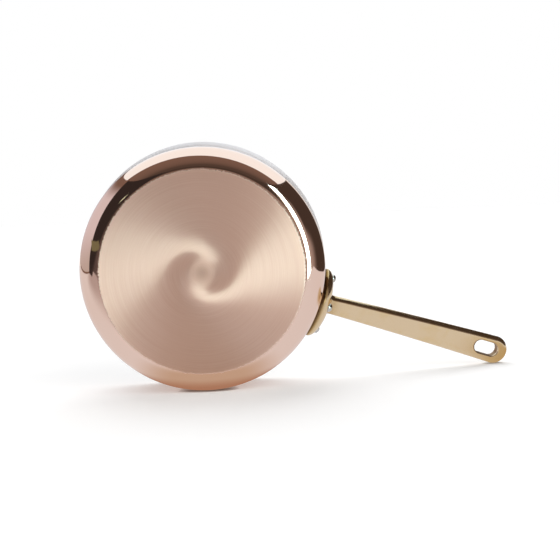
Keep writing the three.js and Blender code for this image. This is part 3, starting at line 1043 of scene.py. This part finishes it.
WARM_BROWN = (0.30, 0.23, 0.20)
HALO_COLOUR = (0.46, 0.40, 0.375)
HALO_EDGE = (0.34, 0.27, 0.25)
HALO_TOP = (0.13, 0.10, 0.09)
FOOT_COLOUR = (0.10, 0.075, 0.07)
BEIGE = (0.62, 0.54, 0.46)
NEAR_BLACK = (0.034, 0.026, 0.025)
AXIS_NUMBERS = {"right": 0, "forward": 1, "up": 2}


def card(name, corners, colour, *fades, strength=1.0, clear=False):
    """A glowing card that only metal sees. Each fade goes to another colour between two places on an axis."""
    material, tree, light = glow_material(name)
    light.inputs["Color"].default_value = (*colour, 1)
    light.inputs["Strength"].default_value = strength
    for axis, start, end, end_colour in fades:
        place = vector_parts(tree, object_place(tree))[AXIS_NUMBERS[axis]]
        colour = mix_colours(tree, map_range(tree, place, (start, end), (0, 1)), colour, end_colour)
        tree.links.new(colour, light.inputs["Color"])
    surface = light.outputs[0]
    if clear:
        see_through = add_node(tree, "ShaderNodeBsdfTransparent").outputs[0]
        surface = add_node(tree, "ShaderNodeAddShader", {0: surface, 1: see_through}).outputs[0]
    add_node(tree, "ShaderNodeOutputMaterial", {"Surface": surface})
    return stage_sheet(name, corners, material, seen=False)


def level_card(name, left, right, front, back, height, colour, *fades):
    corners = [(left, front, height), (right, front, height), (right, back, height), (left, back, height)]
    card(name, corners, colour, *fades)


def side_card(name, right, front, back, low, high, colour, *fades):
    corners = [(right, front, low), (right, front, high), (right, back, high), (right, back, low)]
    card(name, corners, colour, *fades)


def make_panel():
    """The white panel above the pan, and the dark boom in front of it."""
    left = (PANEL_LEFT, PANEL_FRONT_LEFT, PANEL_HEIGHT)
    right = (PANEL_RIGHT, PANEL_FRONT_RIGHT, PANEL_HEIGHT)
    back = [(PANEL_RIGHT, ROOM_BACK, PANEL_HEIGHT), (PANEL_LEFT, ROOM_BACK, PANEL_HEIGHT)]
    front = [(PANEL_LEFT, ROOM_FRONT, PANEL_HEIGHT), (PANEL_RIGHT, ROOM_FRONT, PANEL_HEIGHT)]
    card("panel", [left, right, *back], WHITE)
    card("boom", [*front, right, left], MID_BROWN, ("forward", BOOM_DARK_FRONT, PANEL_FRONT_LEFT, BROWN))


def make_right_flag():
    """The dark flag at the right, paler at its front foot and at its far end."""
    right = PANEL_RIGHT
    top = PANEL_HEIGHT
    front = [(right, FLAG_FRONT, 0), (right, FLAG_FRONT, top),
             (right, FLAG_MIDDLE, top), (right, FLAG_MIDDLE, FLAG_LOW)]
    card("right_flag_front", front, HALO_EDGE,
         ("forward", FLAG_FRONT, FLAG_GLOW_END, DARK_BROWN), ("up", *FLAG_GLOW_TOP, DARK_BROWN))
    side_card("right_flag_back", right, FLAG_MIDDLE, FLAG_BACK, FLAG_LOW, top, DARK_BROWN,
              ("forward", FLAG_BEIGE_FRONT, FLAG_BACK, BEIGE))


def make_left_reflector():
    """The black flag at the left, and the pale reflector behind it with a dark top, far end and hem."""
    left = PANEL_LEFT
    top = PANEL_HEIGHT
    low = Vector((left, REFLECTOR_FRONT_LOW, REFLECTOR_LOW_FRONT))
    high = Vector((left, REFLECTOR_FRONT_HIGH, top))
    middle = low.lerp(high, REFLECTOR_TOP / top)
    low_end = Vector((left, ROOM_BACK, REFLECTOR_LOW_BACK))
    middle_end = (left, ROOM_BACK, middle.z)
    high_end = (left, ROOM_BACK, top)
    flag = [(left, ROOM_FRONT, ROOM_GROUND), (left, ROOM_FRONT, top), high, low]
    card("left_flag", flag, NEAR_BLACK, ("up", *FLAG_FOOT, FOOT_COLOUR))
    far_fade = ("forward", *REFLECTOR_FAR, BROWN)
    card("left_reflector", [low, middle, middle_end, low_end], PALE,
         ("up", *REFLECTOR_FADE, HEM_COLOUR), far_fade)
    card("reflector_top", [middle, high, high_end, middle_end], PALE,
         ("up", middle.z, REFLECTOR_DARK, BROWN), far_fade)
    step = Vector((CARD_STEP, 0, 0))
    rise = Vector((CARD_STEP, 0, REFLECTOR_HEM))
    card("reflector_hem", [low + step, low + rise, low_end + rise, low_end + step], BROWN)


def make_dark_room():
    """Ground, ceiling, right wall and front wall of the dark room round the studio."""
    side = ROOM_SIDE
    front = ROOM_FRONT
    level_card("ground", -side, side, front, ROOM_BACK, ROOM_GROUND, DARK_BROWN,
               ("right", *GROUND_WARM, WARM_BROWN))
    level_card("ceiling", -side, side, front, CEILING_BACK, ROOM_HEIGHT, DARK_BROWN)
    side_card("right_wall", side, front, RIGHT_WALL_BACK, ROOM_GROUND, ROOM_HEIGHT, DARK_BROWN)
    front_wall = [(-side, front, ROOM_GROUND), (side, front, ROOM_GROUND),
                  (side, front, ROOM_HEIGHT), (-side, front, ROOM_HEIGHT)]
    card("front_wall", front_wall, DARK_BROWN, ("up", *FRONT_WALL_WARM, WARM_BROWN))


# Lamp face in front at the right, with its rim and halo, and small cards that the copper shows at the left
LAMP_FACE_COLOUR = (0.94, 1.35, 1.39)
LAMP_FACE_STRENGTH = 7.6
LAMP_FACE_DISTANCE = 2.0
LAMP_VIEW_POINT = (0.085, 0.0, 0.12)
DIM_LAMP_DISTANCE = 2.02
DIM_LAMP_COLOUR = (2.0, 2.2, 2.0)
DIM_LAMP_TOP = (0.33, 0.30, 0.24)
DIM_LAMP_FADE = (-0.3, 0.1)
LAMP_FOOT = (12.5, -19)
LAMP_LEFT_EDGE = ((16.5, -1), (21, 10), (21.5, 19))
LAMP_RIGHT_EDGE = ((31, -13), (32, 24))
LAMP_PEAK = (28, 23)
RIM_FOOT = (9.5, -19)
RIM_LEFT_EDGE = ((13, -1), (17.5, 9), (18.5, 15))
RIM_COLOUR = (0.62, 0.56, 0.48)
HALO_RIGHT_EDGE = ((48, -13), (48, 20))
HALO_SIDE = (1.15, 1.5)
HALO_FADE = (0.15, 0.9)
GLINT_VIEW_POINT = (-0.067, 0.0, 0.165)
GLINT_DISTANCE = 1.0
GLINT_CORNERS = ((-20, 4.6), (-17, 4.6), (-17, 6.2), (-20, 6.2))
GLINT_COLOUR = (1.3, 1.5, 1.1)
PATCH_VIEW_POINT = (-0.09, 0.0, 0.12)
PATCH_DISTANCE = 0.35
PATCH_CORNERS = ((-67, 10), (-25, -1.2), (-11, -8), (-52, 1))
PATCH_COLOUR = (0.19, 0.18, 0.10)


def seen_from(view_point, distance, corners):
    """Places at a distance from a view point, by degrees right of the camera's side and above the horizon."""
    places = []
    for degrees_right, degrees_up in corners:
        azimuth = math.radians(degrees_right)
        elevation = math.radians(degrees_up)
        flat = distance * math.cos(elevation)
        away = (flat * math.sin(azimuth), -flat * math.cos(azimuth), distance * math.sin(elevation))
        places.append(Vector(view_point) + Vector(away))
    return places


def shine_only_on(prop, pieces):
    """Lets only some pieces mirror the light of a stage prop."""
    group = bpy.data.collections.new(prop.name + "_pieces")
    for piece in pieces:
        group.objects.link(piece)
    prop.light_linking.receiver_collection = group


def make_lamp_face():
    """The lamp face for copper and steel, a dimmer one for brass, and a halo and a rim beside it."""
    corners = [LAMP_FOOT, *LAMP_RIGHT_EDGE, LAMP_PEAK, *reversed(LAMP_LEFT_EDGE)]
    face = seen_from(LAMP_VIEW_POINT, LAMP_FACE_DISTANCE, corners)
    lamp = card("lamp_face", face, LAMP_FACE_COLOUR, strength=LAMP_FACE_STRENGTH, clear=True)
    shine_only_on(lamp, other_pieces)
    dim_face = seen_from(LAMP_VIEW_POINT, DIM_LAMP_DISTANCE, corners)
    dim_lamp = card("dim_lamp_face", dim_face, DIM_LAMP_COLOUR, ("up", *DIM_LAMP_FADE, DIM_LAMP_TOP))
    shine_only_on(dim_lamp, [handle])
    low, high = LAMP_RIGHT_EDGE
    halo_corners = [low, *HALO_RIGHT_EDGE, high]
    halo = seen_from(LAMP_VIEW_POINT, LAMP_FACE_DISTANCE, halo_corners)
    card("lamp_halo", halo, HALO_COLOUR, ("right", *HALO_SIDE, HALO_EDGE), ("up", *HALO_FADE, HALO_TOP))
    rim_corners = [RIM_FOOT, LAMP_FOOT, *LAMP_LEFT_EDGE, *reversed(RIM_LEFT_EDGE)]
    card("lamp_rim", seen_from(LAMP_VIEW_POINT, LAMP_FACE_DISTANCE, rim_corners), RIM_COLOUR)


def make_small_cards():
    """A glint and a faint gold patch."""
    card("glint", seen_from(GLINT_VIEW_POINT, GLINT_DISTANCE, GLINT_CORNERS), GLINT_COLOUR)
    card("gold_patch", seen_from(PATCH_VIEW_POINT, PATCH_DISTANCE, PATCH_CORNERS), PATCH_COLOUR)


# Light on the floor and on dull metal: a soft lamp far above and behind, a shadowless fill from the front
LAMP_SPREAD = math.radians(60)
KEY_DIRECTION = (-0.12, 0.6, 1.0)
KEY_STRENGTH = 1.75
FILL_DIRECTION = (0.6, -0.75, 0.5)
FILL_STRENGTH = 1.45
AMBIENT_STRENGTH = 0.3


def make_lamp(name, direction, strength, shadow):
    """A far lamp that polished metal doesn't mirror."""
    lamp_data = bpy.data.lights.new(name, "SUN")
    lamp_data.angle = LAMP_SPREAD
    lamp_data.energy = strength
    lamp_data.use_shadow = shadow
    lamp = bpy.data.objects.new(name, lamp_data)
    towards = studio.to_3x3() @ Vector(direction)
    lamp.rotation_mode = "QUATERNION"
    lamp.rotation_quaternion = towards.to_track_quat("Z", "Y")
    lamp.visible_glossy = False
    bpy.context.scene.collection.objects.link(lamp)


def make_world():
    world = bpy.data.worlds.new("studio")
    world.use_nodes = True
    tree = world.node_tree
    tree.nodes.clear()
    path = add_node(tree, "ShaderNodeLightPath").outputs
    mirrored = math_node(tree, "MAXIMUM", path["Is Glossy Ray"], path["Is Transmission Ray"])
    seen = math_node(tree, "MAXIMUM", path["Is Camera Ray"], mirrored)
    strength = map_range(tree, seen, (0, 1), (AMBIENT_STRENGTH, 1))
    light = add_node(tree, "ShaderNodeBackground", {"Color": (1, 1, 1, 1), "Strength": strength})
    add_node(tree, "ShaderNodeOutputWorld", {"Surface": light.outputs[0]})
    bpy.context.scene.world = world


make_floor()
make_table()
make_shelf()
make_panel()
make_right_flag()
make_left_reflector()
make_dark_room()
make_lamp_face()
make_small_cards()
make_lamp("key", KEY_DIRECTION, KEY_STRENGTH, shadow=True)
make_lamp("fill", FILL_DIRECTION, FILL_STRENGTH, shadow=False)
make_world()
bpy.context.scene.view_settings.view_transform = "Standard"
